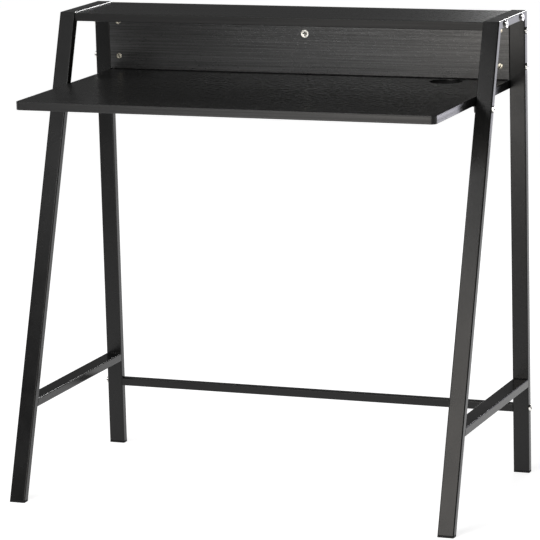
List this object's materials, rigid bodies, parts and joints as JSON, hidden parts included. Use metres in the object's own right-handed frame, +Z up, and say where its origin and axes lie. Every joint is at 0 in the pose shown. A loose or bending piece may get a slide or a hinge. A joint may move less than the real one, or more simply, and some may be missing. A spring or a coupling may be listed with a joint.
{
  "type": "ladder desk",
  "caption": "Free-standing ladder desk: leaning steel-tube side frames carry a black desktop with a cable hole, a low back panel and a narrow top shelf.",
  "frame": {"origin": "on the floor, midway between the two side frames and midway between the front and rear feet", "axes": "+X to the right of someone sitting at the desk, +Y from the front edge to the back panel, +Z up"},
  "size_m": [0.8466, 0.46, 0.85],
  "materials": {
    "black_steel": "semi-gloss black powder coat",
    "black_board": "black foil with a fine wood grain",
    "black_edge_band": "satin",
    "black_plastic": "matt moulded",
    "nickel_plated_steel": "bright nickel plate",
    "zinc_plated_steel": "bright zinc plate",
    "beech": "raw"
  },
  "bodies": {
    "desk": {"left_front_leg": "black_steel", "left_rear_leg": "black_steel", "left_top_bar": "black_steel", "left_side_stretcher": "black_steel", "right_front_leg": "black_steel", "right_rear_leg": "black_steel", "right_top_bar": "black_steel", "right_side_stretcher": "black_steel", "rear_crossbar": "black_steel", "left_front_foot": "black_plastic", "left_rear_foot": "black_plastic", "right_front_foot": "black_plastic", "right_rear_foot": "black_plastic", "desktop": "black_board", "desktop_edge_band": "black_edge_band", "cable_hole_liner": "black_plastic", "top_shelf": "black_board", "shelf_front_band": "black_edge_band", "shelf_rear_band": "black_edge_band", "back_panel": "black_board", "left_bracket": "black_steel", "right_bracket": "black_steel", "crossbar_inserts": "zinc_plated_steel", "shelf_bolts": "nickel_plated_steel", "panel_bolts": "nickel_plated_steel", "crossbar_bolts": "nickel_plated_steel", "bracket_bolts": "nickel_plated_steel", "shelf_barrel_nuts": "zinc_plated_steel", "panel_barrel_nuts": "zinc_plated_steel", "bracket_screws": "zinc_plated_steel", "panel_screws": "zinc_plated_steel", "panel_spacers": "black_plastic", "shelf_dowels": "beech", "cam_dowel": "zinc_plated_steel"},
    "cam": {"cam_lock": "zinc_plated_steel"}
  },
  "joints": [
    {"name": "cam_turn", "type": "hinge", "parent": "desk", "child": "cam", "pos_m": [0, 0.2225, 0.7995], "axis": [0, -1, 0], "range_deg": [0, 180]}
  ]
}
